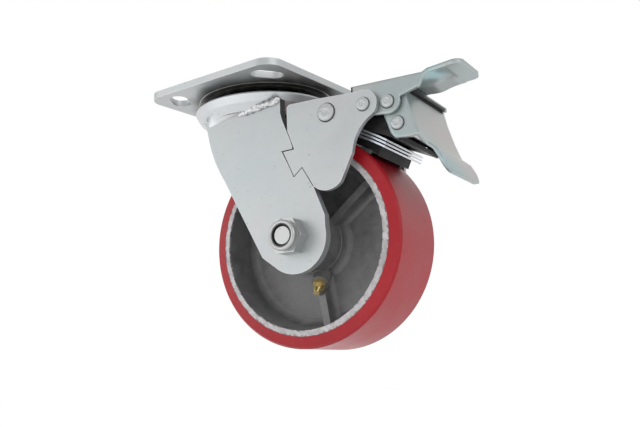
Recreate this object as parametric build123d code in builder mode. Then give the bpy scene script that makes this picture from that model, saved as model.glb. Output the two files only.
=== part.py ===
import os
from math import cos, radians, sin

from build123d import *

# Swivel castor with a 125 mm wheel and a foot-operated wheel brake, in millimetres.
# The origin is the middle of the mounting plate's top face, Z points up and the wheel
# trails towards +X. The fork is turned about Z by the swivel angle below.

# General
swivel_angle = 5.4
running_gap = 0.05
fit_gap = 0.1

# Mounting plate
plate_length = 100
plate_width = 114
plate_thickness = 4.2
plate_corner = 11
slot_width = 11
slot_travel = 9.2
slot_lean = -58.7
slot_inset_x = 14.3
slot_inset_y = 14.95

# Swivel head
race_radius = 40.3
race_flare = 2.4
race_height = 1.3
race_inner_radius = 25
upper_ball_radius = 4
upper_ball_pitch = 33
upper_ball_count = 20
upper_ball_sink = 0.7
head_gap = 4.7
crown_radius = 45
crown_height = 9.6
crown_neck_radius = 38.5
crown_web = 6
crown_cavity_radius = 29
crown_bore = 7.5
skirt_depth = 8.6
skirt_wall = 5
skirt_taper = 2
lower_ball_radius = 3.2
lower_ball_pitch = 17
lower_ball_count = 14
lower_ball_sink = 1
lower_race_radius = 23
lower_race_thickness = 4
kingpin_radius = 6
kingpin_head_radius = 12
kingpin_end = 3
kingpin_nut_width = 19
kingpin_nut_height = 10

# Fork
leg_inner = 30
leg_thickness = 5
axle_x = 38.9
wheel_top_gap = 18.2
leg_end_radius = 21.6
weld_leg = 2.4

# Axle
axle_radius = 6
axle_head_width = 19
axle_head_height = 7.5
axle_nut_width = 19
axle_nut_hex = 8.5
axle_nut_collar = 3.5
axle_nut_collar_radius = 8.6
axle_bolt_end = 11
insert_depth = 2.6
insert_wall = 1.3

# Wheel and bearing
tread_edge_set = 0.7
tread_draft = 1.7
tread_shoulder = 1.1
rim_inner_radius = 52
rim_wall = 3.4
tread_depth = 7.1
rim_half_width = 25.1
rim_taper = 3.5
web_half = 4
hub_radius = 16.5
hub_end_gap = 0.1
hub_draft = 1.5
rib_count = 3
rib_thickness = 4.5
rib_turn = 38.5
rib_depth = 12.5
washer_thickness = 2
washer_radius = 15
bushing_radius = 9
roller_radius = 1.5
roller_half_length = 21
roller_count = 12
cage_wall = 1.4
cage_rim = 2

# Grease nipple
nipple_turn = -81.5
nipple_reach = 8.4
nipple_boss_radius = 5.2
nipple_base_width = 7
nipple_base_height = 3
nipple_neck_radius = 1.9
nipple_neck_height = 2.8
nipple_head_radius = 2.7
nipple_head_height = 3

# Brake bracket and pins
bracket_thickness = 3
arm_pivot_x = 64.4
arm_pivot_drop = 11.6
pedal_pivot_x = 88
pedal_pivot_drop = 11.5
link_pivot_x = 101.4
link_pivot_drop = 11.7
roller_pivot_x = 105.3
roller_pivot_drop = 24
arm_pin_radius = 4
arm_pin_head_radius = 5.1
pedal_pin_radius = 3
pedal_pin_head_radius = 3.7
pin_head_height = 1.5
ear_radius = 8.4

# Pedals
pedal_sheet = 2.5
pedal_side_gap = 0.5
pedal_top_drop = 1.3
upper_lobe_radius = 7
lower_lobe_radius = 6.4
lip_length = 2
lip_gap = 1
foot_half_width = 25
foot_corner = 8
pressure_roller_radius = 4.6
pressure_roller_half = 21.5

# Brake arm
arm_slope = -25.1
arm_swing = 3.8
lever_half_width = 25
lever_thickness = 2.5
lever_length = 46.5
lever_ear = 1.7
lever_ear_start = 39
arm_tube_radius = 6.2
leaf_drop = 2
leaf_thickness = 2.5
leaf_gap = 0.25
leaf_start = 7
leaf_length = 37.4
shoe_start = 9
shoe_end = 33
shoe_half_width = 20
shoe_depth = 8.5
shoe_tread_gap = 0.5
shoe_bolt_radius = 3
shoe_bolt_along = 22
shoe_bolt_head_width = 10
shoe_bolt_head_height = 2.5
shoe_nut_height = 5
shoe_bolt_end = 1.5

# Heights that follow from the stack of pieces under the plate
race_bottom = -plate_thickness - race_height
upper_ball_z = race_bottom + upper_ball_sink - upper_ball_radius
crown_top = race_bottom - head_gap
crown_bottom = crown_top - crown_height
crown_web_bottom = crown_top - crown_web
lower_ball_z = crown_web_bottom + lower_ball_sink - lower_ball_radius
lower_race_top = lower_ball_z - lower_ball_radius + lower_ball_sink
lower_race_bottom = lower_race_top - lower_race_thickness
kingpin_nut_bottom = lower_race_bottom - kingpin_nut_height

# Widths that follow from the fork
leg_outer = leg_inner + leg_thickness
bracket_inner = leg_outer - bracket_thickness
upper_pedal_outer = bracket_inner - pedal_side_gap
upper_pedal_inner = upper_pedal_outer - pedal_sheet
lower_pedal_outer = upper_pedal_inner - pedal_side_gap
lower_pedal_inner = lower_pedal_outer - pedal_sheet
hub_half = leg_inner - washer_thickness - hub_end_gap

# Wheel sizes that follow from its rim, and the axle's height from the wheel
rim_outer_radius = rim_inner_radius + rim_wall
rim_root_radius = rim_inner_radius - rim_taper
tread_half_width = rim_half_width - tread_edge_set
tread_top_half_width = tread_half_width - tread_draft
wheel_radius = rim_outer_radius + tread_depth
axle_drop = wheel_radius + wheel_top_gap
slot_x = plate_length / 2 - slot_inset_x
slot_y = plate_width / 2 - slot_inset_y

# Reference planes and axes of the turned fork
fork_plan = Plane.XY.rotated((0, 0, swivel_angle))
fork_x = fork_plan.x_dir
fork_y = fork_plan.y_dir
fork_mid = Plane(origin=(0, 0, 0), x_dir=fork_x, z_dir=fork_y)
side_mid = Plane(origin=(0, 0, crown_bottom), x_dir=fork_x, z_dir=-fork_y)
axle_centre = fork_x * axle_x + Vector(0, 0, crown_bottom - axle_drop)
axle_plane = Plane(origin=axle_centre, x_dir=fork_x, z_dir=(0, 0, 1))
axle_axis = Axis(axle_centre, fork_y)


# Side plane of the fork at a distance along the axle; its own Y is height over the legs' top
def side_at(width_position):
    return side_mid.offset(-width_position)


# Point of the side view from a distance along the brake arm and a height over its pivot line
def arm_point(along, above):
    slope = radians(arm_slope)
    return (
        arm_pivot_x + along * cos(slope) - above * sin(slope),
        -arm_pivot_drop + along * sin(slope) + above * cos(slope),
    )


# Outline of a plate piece of the brake arm between two distances and two heights
def arm_outline(start, end, low, high):
    return [arm_point(start, low), arm_point(end, low), arm_point(end, high), arm_point(start, high)]


# Plane square to the shoe bolt at a height over the arm's pivot line
def arm_plane(above):
    slope = radians(arm_slope)
    spot = arm_point(shoe_bolt_along, above)
    centre = side_mid.origin + fork_x * spot[0] + Vector(0, 0, spot[1])
    normal = Vector(0, 0, 1) * cos(slope) - fork_x * sin(slope)
    return Plane(origin=centre, x_dir=fork_y, z_dir=normal)


# Mounting plate with four slanted bolt slots
with BuildPart() as top_plate:
    with BuildSketch():
        RectangleRounded(plate_length, plate_width, plate_corner)
        for side_x in (-1, 1):
            for side_y in (-1, 1):
                with Locations((side_x * slot_x, side_y * slot_y)):
                    SlotCenterToCenter(
                        slot_travel, slot_width, rotation=slot_lean * side_x * side_y, mode=Mode.SUBTRACT
                    )
    extrude(amount=-plate_thickness)
    with BuildSketch(Plane.XZ):
        with BuildLine():
            Polyline(
                (0, fit_gap),
                (kingpin_head_radius + fit_gap, fit_gap),
                (kingpin_head_radius + fit_gap, 0),
                (kingpin_radius + fit_gap, -plate_thickness),
                (0, -plate_thickness),
                close=True,
            )
        make_face()
    revolve(axis=Axis.Z, mode=Mode.SUBTRACT)

# Race ring pressed under the plate for the upper balls
with BuildPart() as upper_race:
    with BuildSketch(Plane.XZ):
        with BuildLine():
            Polyline(
                (race_inner_radius, -plate_thickness),
                (race_radius + race_flare, -plate_thickness),
                (race_radius, race_bottom),
                (race_inner_radius, race_bottom),
                close=True,
            )
        make_face()
    revolve(axis=Axis.Z)
    with Locations((0, 0, upper_ball_z)):
        Torus(upper_ball_pitch, upper_ball_radius + running_gap, mode=Mode.SUBTRACT)

# Upper ring of balls
with BuildPart() as upper_balls:
    with Locations((0, 0, upper_ball_z)):
        with PolarLocations(upper_ball_pitch, upper_ball_count):
            Sphere(upper_ball_radius)

# Outer form of the crown, which the legs are cut to
with BuildPart() as crown_form:
    with BuildSketch(Plane.XZ):
        with BuildLine():
            rim_edge = Line((crown_bore, crown_top), (crown_radius - 1.5, crown_top))
            rim_round = ThreePointArc(
                rim_edge @ 1, (crown_radius - 0.4, crown_top - 0.4), (crown_radius, crown_top - 1.4)
            )
            taper = Line(rim_round @ 1, (crown_radius - 2.3, crown_top - 0.58 * crown_height))
            neck = Line(taper @ 1, (crown_neck_radius, crown_bottom))
            Polyline(neck @ 1, (crown_bore, crown_bottom), (crown_bore, crown_top))
        make_face()
    revolve(axis=Axis.Z)

# Crown of the fork with a hollow under it, a ball track on each side and a front skirt
with BuildPart() as swivel_crown:
    with BuildSketch(Plane.XZ):
        with BuildLine():
            Polyline(
                (crown_neck_radius - skirt_wall, crown_bottom + 1),
                (crown_neck_radius - 0.5, crown_bottom + 1),
                (crown_neck_radius, crown_bottom),
                (crown_neck_radius - skirt_taper, crown_bottom - skirt_depth),
                (crown_neck_radius - skirt_taper - skirt_wall, crown_bottom - skirt_depth),
                close=True,
            )
        make_face()
    revolve(axis=Axis.Z)
    with BuildSketch(fork_plan.offset(crown_bottom + 1)):
        with Locations((-crown_radius / 2, 0)):
            Rectangle(crown_radius, 2 * leg_inner)
    extrude(amount=-skirt_depth - 2, mode=Mode.INTERSECT)
    add(crown_form.part)
    with BuildSketch(Plane.XZ):
        with BuildLine():
            Polyline(
                (crown_bore, crown_bottom),
                (crown_bore, crown_web_bottom),
                (crown_cavity_radius - 2, crown_web_bottom),
                (crown_cavity_radius, crown_bottom),
                close=True,
            )
        make_face()
    revolve(axis=Axis.Z, mode=Mode.SUBTRACT)
    with Locations((0, 0, upper_ball_z)):
        Torus(upper_ball_pitch, upper_ball_radius + running_gap, mode=Mode.SUBTRACT)
    with Locations((0, 0, lower_ball_z)):
        Torus(lower_ball_pitch, lower_ball_radius + running_gap, mode=Mode.SUBTRACT)

# Lower ring of balls
with BuildPart() as lower_balls:
    with Locations((0, 0, lower_ball_z)):
        with PolarLocations(lower_ball_pitch, lower_ball_count):
            Sphere(lower_ball_radius)

# Cupped washer that carries the lower balls
with BuildPart() as lower_race:
    with BuildSketch(Plane.XY.offset(lower_race_top)):
        Circle(lower_race_radius)
        Circle(kingpin_radius + fit_gap, mode=Mode.SUBTRACT)
    extrude(amount=-lower_race_thickness)
    chamfer(lower_race.faces().sort_by(Axis.Z)[0].outer_wire().edges(), 1)
    with Locations((0, 0, lower_ball_z)):
        Torus(lower_ball_pitch, lower_ball_radius + running_gap, mode=Mode.SUBTRACT)

# Kingpin with a flush head in the plate
with BuildPart() as kingpin:
    with BuildSketch(Plane.XZ):
        with BuildLine():
            Polyline(
                (0, 0),
                (kingpin_head_radius, 0),
                (kingpin_radius, -plate_thickness),
                (kingpin_radius, kingpin_nut_bottom - kingpin_end),
                (0, kingpin_nut_bottom - kingpin_end),
                close=True,
            )
        make_face()
    revolve(axis=Axis.Z)

# Nut that closes the swivel head
with BuildPart() as kingpin_nut:
    with BuildSketch(Plane.XY.offset(lower_race_bottom)):
        RegularPolygon(kingpin_nut_width / 2, 6, major_radius=False)
        Circle(kingpin_radius + running_gap, mode=Mode.SUBTRACT)
    extrude(amount=-kingpin_nut_height)

# Corners that the near leg and the bracket share along their weld
weld_foot = (41.2, -45.6)
weld_knee = (46.9, -40.9)
weld_end = (53.8, -52.8)
axle_spot = (axle_x, -axle_drop)

# Near leg of the fork
with BuildPart() as near_leg:
    with BuildSketch(side_at(-leg_inner)):
        with BuildLine():
            front_top = ThreePointArc((-25.5, 0), (-22.2, -3.3), (-20.7, -7.1))
            front_curve = ThreePointArc(front_top @ 1, (-17.2, -21.8), (-8.4, -40.3))
            front_edge = Line(front_curve @ 1, (axle_x - 21, -axle_drop - 9.4))
            heel_edge = Line(front_edge @ 1, (axle_x - 10.5, -axle_drop - 17.3))
            end_round = ThreePointArc(
                heel_edge @ 1,
                (axle_x + 0.574 * leg_end_radius, -axle_drop - 0.82 * leg_end_radius),
                (axle_x + leg_end_radius, -axle_drop + 3.5),
            )
            Polyline(
                end_round @ 1,
                (axle_x + leg_end_radius, -axle_drop + 10.5),
                weld_end,
                weld_knee,
                weld_foot,
                (33.3, -29.1),
                (41.2, -28.9),
                (39.4, -23.3),
                (34.3, -10.2),
                (33.1, -5.7),
                (33.4, 3.8),
                (9.5, 1.2),
                (-8, -0.6),
                (-18, -1.4),
                (-25.5, 0),
            )
        make_face()
        with Locations(axle_spot):
            Circle(axle_radius + fit_gap, mode=Mode.SUBTRACT)
    extrude(amount=leg_thickness)
    add(crown_form.part, mode=Mode.SUBTRACT)

# Far leg of the fork
with BuildPart() as far_leg:
    mirror(near_leg.part, about=fork_mid)

# Weld bead between the near leg and the crown, along the leg's sloping top
bead_start = Vector(32.5, 1.8)
bead_end = Vector(-17, -3.4)
bead_run = (bead_end - bead_start).normalized()
bead_root = side_mid.origin + fork_x * bead_start.X + Vector(0, 0, bead_start.Y) - fork_y * leg_outer
with BuildPart() as near_weld:
    with BuildSketch(Plane(origin=bead_root, x_dir=-fork_y, z_dir=fork_x * bead_run.X + Vector(0, 0, bead_run.Y))):
        with BuildLine():
            root = Line((0, weld_leg), (0, -weld_leg))
            ThreePointArc(root @ 1, (0.8 * weld_leg, 0), root @ 0)
        make_face()
    extrude(amount=(bead_end - bead_start).length)
    add(crown_form.part, mode=Mode.SUBTRACT)

# Weld bead between the far leg and the crown
with BuildPart() as far_weld:
    mirror(near_weld.part, about=fork_mid)

# Near side plate that carries the brake
with BuildPart() as near_bracket:
    with BuildSketch(side_at(-bracket_inner)):
        with BuildLine():
            bracket_low = Polyline(
                (37.8, -3.4),
                (37.8, -17.6),
                (41.8, -28.6),
                (41.8, -29.5),
                (34.1, -29.7),
                weld_foot,
                weld_knee,
                weld_end,
            )
            tip_round = ThreePointArc(bracket_low @ 1, (62.0, -56.6), (72.0, -52.6))
            rear_edge = Line(tip_round @ 1, (79.8, -37.5))
            rear_curve = ThreePointArc(
                rear_edge @ 1,
                (85.0, -24.8),
                (pedal_pivot_x + 0.57 * ear_radius, -pedal_pivot_drop - 0.822 * ear_radius),
            )
            ear = ThreePointArc(
                rear_curve @ 1,
                (pedal_pivot_x + ear_radius, -pedal_pivot_drop),
                (pedal_pivot_x, -pedal_pivot_drop + ear_radius),
            )
            Polyline(ear @ 1, (79.5, -3.4), (68.6, -2.8), (57.3, -2.2), (39.3, -1.9), (37.8, -3.4))
        make_face()
        with Locations((arm_pivot_x, -arm_pivot_drop)):
            Circle(arm_pin_radius + running_gap, mode=Mode.SUBTRACT)
        with Locations((pedal_pivot_x, -pedal_pivot_drop)):
            Circle(pedal_pin_radius + running_gap, mode=Mode.SUBTRACT)
    extrude(amount=bracket_thickness)

# Far side plate that carries the brake
with BuildPart() as far_bracket:
    mirror(near_bracket.part, about=fork_mid)


# Headed pin across the fork, with its shank between the outer faces that it holds
def cross_pin(spot, radius, head_radius, half_length):
    with BuildPart() as pin:
        with BuildSketch(side_at(half_length)):
            with Locations(spot):
                Circle(radius)
        extrude(amount=2 * half_length)
        for face_at, outwards in ((half_length, -1), (-half_length, 1)):
            with BuildSketch(side_at(face_at)):
                with Locations(spot):
                    Circle(head_radius)
            extrude(amount=outwards * pin_head_height)
        chamfer(pin.edges().filter_by(GeomType.CIRCLE).group_by(Axis(axle_centre, fork_y))[0], 0.5)
        chamfer(pin.edges().filter_by(GeomType.CIRCLE).group_by(Axis(axle_centre, fork_y))[-1], 0.5)
    return pin


# Pin that the brake arm turns on
arm_pin = cross_pin((arm_pivot_x, -arm_pivot_drop), arm_pin_radius, arm_pin_head_radius, leg_outer)

# Pin that the upper pedal turns on
pedal_pin = cross_pin(
    (pedal_pivot_x, -pedal_pivot_drop), pedal_pin_radius, pedal_pin_head_radius, leg_outer
)

# Pin between the upper and the lower pedal
link_pin = cross_pin(
    (link_pivot_x, -link_pivot_drop), pedal_pin_radius, pedal_pin_head_radius, upper_pedal_outer
)

# Pin that carries the pressure roller
roller_pin = cross_pin(
    (roller_pivot_x, -roller_pivot_drop), pedal_pin_radius - 0.5, pedal_pin_head_radius, lower_pedal_outer
)

# Pressure roller that pushes on the brake lever
with BuildPart() as pressure_roller:
    with BuildSketch(side_at(pressure_roller_half)):
        with Locations((roller_pivot_x, -roller_pivot_drop)):
            Circle(pressure_roller_radius)
            Circle(pedal_pin_radius - 0.5 + running_gap, mode=Mode.SUBTRACT)
    extrude(amount=2 * pressure_roller_half)

# Upper pedal: a folded sheet with two side flanges and a cranked tongue on the near side
tongue_out = upper_pedal_outer + 2.4
top_line = [(79.5, pedal_top_drop), (122.5, pedal_top_drop - 0.7), (126, 2.2), (146.5, 2.9)]
under_line = [(x, z - pedal_sheet) for x, z in reversed(top_line)]
with BuildPart() as upper_pedal:
    with BuildSketch(side_at(upper_pedal_outer)):
        with BuildLine():
            Polyline(*top_line, *under_line, close=True)
        make_face()
    extrude(amount=upper_pedal_outer + tongue_out)
    with BuildSketch(fork_plan.offset(crown_bottom + 10)):
        with BuildLine():
            near_edge = Polyline(
                (79.5, upper_pedal_outer),
                (79.5, -upper_pedal_outer),
                (127, -upper_pedal_outer),
                (140.8, -tongue_out),
            )
            near_corner = ThreePointArc(near_edge @ 1, (144.5, -tongue_out + 1.5), (146, -tongue_out + 5))
            end_edge = Line(near_corner @ 1, (146, -8))
            far_corner = ThreePointArc(end_edge @ 1, (144.8, -4.6), (141.5, -3))
            Polyline(far_corner @ 1, (120.6, -0.8), (107, 0.4), (105, upper_pedal_outer), near_edge @ 0)
        make_face()
    extrude(amount=-20, mode=Mode.INTERSECT)
    for inner, outwards, front in ((-upper_pedal_inner, 1, 123), (upper_pedal_inner, -1, 108.5)):
        with BuildSketch(side_at(inner)):
            with BuildLine():
                flange_edge = Polyline(
                    (79.5, pedal_top_drop - pedal_sheet),
                    (front, pedal_top_drop - pedal_sheet),
                    (front, pedal_top_drop - pedal_sheet - 0.6),
                    (front - 3, -6.8),
                    (108.4, -7.8 - 2.2),
                )
                lobe = ThreePointArc(
                    flange_edge @ 1,
                    (link_pivot_x + 0.5 * upper_lobe_radius, -link_pivot_drop - 0.866 * upper_lobe_radius),
                    (link_pivot_x - 1.5, -link_pivot_drop - upper_lobe_radius + 0.2),
                )
                Polyline(
                    lobe @ 1,
                    (pedal_pivot_x + 3, -pedal_pivot_drop - 6),
                    (pedal_pivot_x - 4, -pedal_pivot_drop - 5),
                    (79.5, -6),
                    (79.5, pedal_top_drop - pedal_sheet),
                )
            make_face()
            with Locations(
                (pedal_pivot_x, -pedal_pivot_drop), (link_pivot_x, -link_pivot_drop)
            ):
                Circle(pedal_pin_radius + running_gap, mode=Mode.SUBTRACT)
        extrude(amount=outwards * pedal_sheet)

# Lower pedal: a front plate with a foot, a top lip and two side flanges
pedal_face = [
    (110.3, -4.8),
    (112.2, -13.5),
    (115.9, -25.8),
    (118.4, -32.2),
    (121.0, -36.7),
    (126.2, -41.1),
    (129.0, -46.1),
    (132.2, -54.2),
]
face_step = 1.1 * pedal_sheet
pedal_back = [(x - face_step, z) for x, z in reversed(pedal_face)]
lip_top = pedal_top_drop - pedal_sheet - lip_gap
foot_top = pedal_face[3][1]
foot_bottom = pedal_face[-1][1]
with BuildPart() as lower_pedal:
    with BuildSketch(side_at(lower_pedal_outer)):
        with BuildLine():
            Polyline(
                (pedal_face[0][0] - face_step, lip_top),
                (pedal_face[0][0] + lip_length, lip_top),
                (pedal_face[0][0] + lip_length, lip_top - pedal_sheet),
                *pedal_face,
                *pedal_back,
                close=True,
            )
        make_face()
    extrude(amount=2 * lower_pedal_outer)
    with BuildSketch(Plane(origin=side_mid.origin, x_dir=fork_y, z_dir=fork_x).offset(90)):
        with BuildLine():
            Polyline(
                (-lower_pedal_outer, 5),
                (-lower_pedal_outer, foot_top),
                (-foot_half_width, foot_top - 5),
                (-foot_half_width, foot_bottom),
                (foot_half_width, foot_bottom),
                (foot_half_width, foot_top - 5),
                (lower_pedal_outer, foot_top),
                (lower_pedal_outer, 5),
                close=True,
            )
        make_face()
        fillet(vertices().group_by(Axis.Y)[0], foot_corner)
    extrude(amount=60, mode=Mode.INTERSECT)
    for inner, outwards in ((-lower_pedal_inner, 1), (lower_pedal_inner, -1)):
        with BuildSketch(side_at(inner)):
            with BuildLine():
                crown_arc = ThreePointArc(
                    (link_pivot_x - 0.8 * lower_lobe_radius, -link_pivot_drop - 0.6 * lower_lobe_radius),
                    (link_pivot_x - 0.707 * lower_lobe_radius, -link_pivot_drop + 0.707 * lower_lobe_radius),
                    (link_pivot_x + 0.3 * lower_lobe_radius, -link_pivot_drop + 0.954 * lower_lobe_radius),
                )
                Polyline(
                    crown_arc @ 1,
                    (pedal_face[0][0] - 0.5 * face_step, -link_pivot_drop + 0.954 * lower_lobe_radius),
                    (pedal_face[1][0] - 0.5 * face_step, pedal_face[1][1]),
                    (pedal_face[2][0] - 0.5 * face_step, pedal_face[2][1]),
                    (pedal_face[3][0] - 0.5 * face_step, pedal_face[3][1]),
                    (112.5, -32.9),
                    (103.5, -32.2),
                    (101.0, -29.2),
                    crown_arc @ 0,
                )
            make_face()
            with Locations((link_pivot_x, -link_pivot_drop)):
                Circle(pedal_pin_radius + running_gap, mode=Mode.SUBTRACT)
            with Locations((roller_pivot_x, -roller_pivot_drop)):
                Circle(pedal_pin_radius - 0.5 + running_gap, mode=Mode.SUBTRACT)
        extrude(amount=outwards * pedal_sheet)

# Brake lever: a plate on a hinge tube, with a low ear on each side of the roller
with BuildPart() as brake_lever:
    with BuildSketch(side_at(lever_half_width)):
        with BuildLine():
            Polyline(
                *arm_outline(4.6, lever_length, -leaf_drop, lever_thickness - leaf_drop), close=True
            )
        make_face()
    extrude(amount=2 * lever_half_width)
    for face_at, inwards in ((lever_half_width, 1), (-lever_half_width, -1)):
        with BuildSketch(side_at(face_at)):
            with BuildLine():
                lever_top = lever_thickness - leaf_drop
                Polyline(
                    *arm_outline(lever_ear_start, lever_length, lever_top, lever_top + lever_ear), close=True
                )
            make_face()
        extrude(amount=inwards * 2.5)
    with BuildSketch(side_at(upper_pedal_outer)):
        with Locations((arm_pivot_x, -arm_pivot_drop)):
            Circle(arm_tube_radius)
    extrude(amount=2 * upper_pedal_outer)
    with BuildSketch(side_at(upper_pedal_outer)):
        with Locations((arm_pivot_x, -arm_pivot_drop)):
            Circle(arm_pin_radius + running_gap)
    extrude(amount=2 * upper_pedal_outer, mode=Mode.SUBTRACT)
    with BuildSketch(arm_plane(-leaf_drop)):
        Circle(shoe_bolt_radius + fit_gap)
    extrude(amount=lever_thickness, mode=Mode.SUBTRACT)

# Heights of the stack under the brake lever, over the arm's pivot line
upper_leaf_bottom = -leaf_drop - leaf_thickness
lower_leaf_top = upper_leaf_bottom - leaf_gap
lower_leaf_bottom = lower_leaf_top - leaf_thickness


# Leaf of the brake spring between two heights
def spring_leaf(low, high):
    with BuildPart() as leaf:
        with BuildSketch(side_at(lever_half_width)):
            with BuildLine():
                Polyline(*arm_outline(leaf_start, leaf_length, low, high), close=True)
            make_face()
        extrude(amount=2 * lever_half_width)
        with BuildSketch(arm_plane(low)):
            Circle(shoe_bolt_radius + fit_gap)
        extrude(amount=high - low, mode=Mode.SUBTRACT)
    return leaf


# Upper and lower leaf of the brake spring
upper_leaf = spring_leaf(upper_leaf_bottom, -leaf_drop)
lower_leaf = spring_leaf(lower_leaf_bottom, lower_leaf_top)

# Wheel centre as the arm sees it when the brake is on, which sets the shoe's curve
swing = radians(arm_swing)
reach_x = axle_x - arm_pivot_x
reach_z = arm_pivot_drop - axle_drop
shoe_centre = (
    arm_pivot_x + reach_x * cos(swing) - reach_z * sin(swing),
    -arm_pivot_drop + reach_x * sin(swing) + reach_z * cos(swing),
)

# Brake shoe, hollowed to the tread, with a pocket for the bolt head
with BuildPart() as brake_shoe:
    with BuildSketch(side_at(shoe_half_width)):
        with BuildLine():
            Polyline(
                *arm_outline(shoe_start, shoe_end, lower_leaf_bottom - shoe_depth, lower_leaf_bottom),
                close=True,
            )
        make_face()
        with Locations(shoe_centre):
            Circle(wheel_radius + shoe_tread_gap, mode=Mode.SUBTRACT)
    extrude(amount=2 * shoe_half_width)
    with BuildSketch(arm_plane(lower_leaf_bottom)):
        RegularPolygon(shoe_bolt_head_width / 2 + fit_gap, 6, major_radius=False)
    extrude(amount=-shoe_bolt_head_height - fit_gap, mode=Mode.SUBTRACT)

# Bolt that clamps the shoe and the leaves under the lever
lever_top = lever_thickness - leaf_drop
with BuildPart() as shoe_bolt:
    with BuildSketch(arm_plane(lower_leaf_bottom)):
        RegularPolygon(shoe_bolt_head_width / 2, 6, major_radius=False)
    extrude(amount=-shoe_bolt_head_height)
    with BuildSketch(arm_plane(lower_leaf_bottom)):
        Circle(shoe_bolt_radius)
    extrude(amount=lever_top - lower_leaf_bottom + shoe_nut_height + shoe_bolt_end)

# Nut of the shoe bolt
with BuildPart() as shoe_nut:
    with BuildSketch(arm_plane(lever_top)):
        RegularPolygon(shoe_bolt_head_width / 2, 6, major_radius=False)
        Circle(shoe_bolt_radius + running_gap, mode=Mode.SUBTRACT)
    extrude(amount=shoe_nut_height)

# Axle bolt with its head on the far leg
with BuildPart() as axle_bolt:
    with BuildSketch(side_at(leg_outer)):
        with Locations(axle_spot):
            RegularPolygon(axle_head_width / 2, 6, major_radius=False)
    extrude(amount=-axle_head_height)
    with BuildSketch(side_at(leg_outer)):
        with Locations(axle_spot):
            Circle(axle_radius)
    extrude(amount=2 * leg_outer + axle_bolt_end)
    chamfer(axle_bolt.edges().filter_by(GeomType.CIRCLE).group_by(axle_axis)[0], 1)

# Lock nut with a round collar
with BuildPart() as axle_nut:
    with BuildSketch(side_at(-leg_outer)):
        with Locations(axle_spot):
            RegularPolygon(axle_nut_width / 2, 6, major_radius=False)
    extrude(amount=axle_nut_hex)
    with BuildSketch(side_at(-leg_outer - axle_nut_hex)):
        with Locations(axle_spot):
            Circle(axle_nut_collar_radius)
    extrude(amount=axle_nut_collar)
    chamfer(axle_nut.edges().filter_by(GeomType.CIRCLE).group_by(axle_axis)[0], 0.8)
    with BuildSketch(side_at(-leg_outer)):
        with Locations(axle_spot):
            Circle(axle_radius + running_gap)
    extrude(amount=axle_nut_hex + axle_nut_collar, mode=Mode.SUBTRACT)
    with BuildSketch(side_at(-leg_outer - axle_nut_hex - axle_nut_collar)):
        with Locations(axle_spot):
            Circle(axle_radius + insert_wall + running_gap)
    extrude(amount=-insert_depth - running_gap, mode=Mode.SUBTRACT)

# Locking insert in the nut's collar
with BuildPart() as nut_insert:
    with BuildSketch(side_at(-leg_outer - axle_nut_hex - axle_nut_collar)):
        with Locations(axle_spot):
            Circle(axle_radius + insert_wall)
            Circle(axle_radius + running_gap, mode=Mode.SUBTRACT)
    extrude(amount=-insert_depth)

# Bushing that the legs clamp on the axle bolt
with BuildPart() as axle_bushing:
    with BuildSketch(side_at(leg_inner)):
        with Locations(axle_spot):
            Circle(bushing_radius)
            Circle(axle_radius + fit_gap, mode=Mode.SUBTRACT)
    extrude(amount=2 * leg_inner)

# Thrust washer between the hub and each leg
with BuildPart() as thrust_washers:
    for outer_face in (leg_inner, -leg_inner + washer_thickness):
        with BuildSketch(side_at(outer_face)):
            with Locations(axle_spot):
                Circle(washer_radius)
                Circle(bushing_radius + running_gap, mode=Mode.SUBTRACT)
        extrude(amount=washer_thickness)

# Rollers of the hub bearing
roller_pitch = bushing_radius + running_gap + roller_radius
hub_bore = roller_pitch + roller_radius + running_gap
with BuildPart() as bearing_rollers:
    with BuildSketch(side_at(roller_half_length)):
        with Locations(axle_spot):
            with PolarLocations(roller_pitch, roller_count):
                Circle(roller_radius)
    extrude(amount=2 * roller_half_length)

# Cage that spaces the rollers
with BuildPart() as bearing_cage:
    with BuildSketch(side_at(roller_half_length + cage_rim)):
        with Locations(axle_spot):
            Circle(roller_pitch + cage_wall / 2)
            Circle(roller_pitch - cage_wall / 2, mode=Mode.SUBTRACT)
    extrude(amount=2 * (roller_half_length + cage_rim))
    with BuildSketch(side_at(roller_half_length + running_gap)):
        with Locations(axle_spot):
            with PolarLocations(roller_pitch, roller_count):
                Circle(roller_radius + running_gap)
    extrude(amount=2 * (roller_half_length + running_gap), mode=Mode.SUBTRACT)

# Slanted seat of the grease nipple, over the rib below the hub
nipple_radial = fork_x * cos(radians(nipple_turn)) + Vector(0, 0, sin(radians(nipple_turn)))
nipple_out = (nipple_radial - fork_y).normalized()
nipple_root = axle_centre + nipple_radial * (hub_radius + nipple_reach) - fork_y * rib_depth
nipple_seat = Plane(origin=nipple_root, x_dir=fork_x, z_dir=nipple_out)

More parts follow.
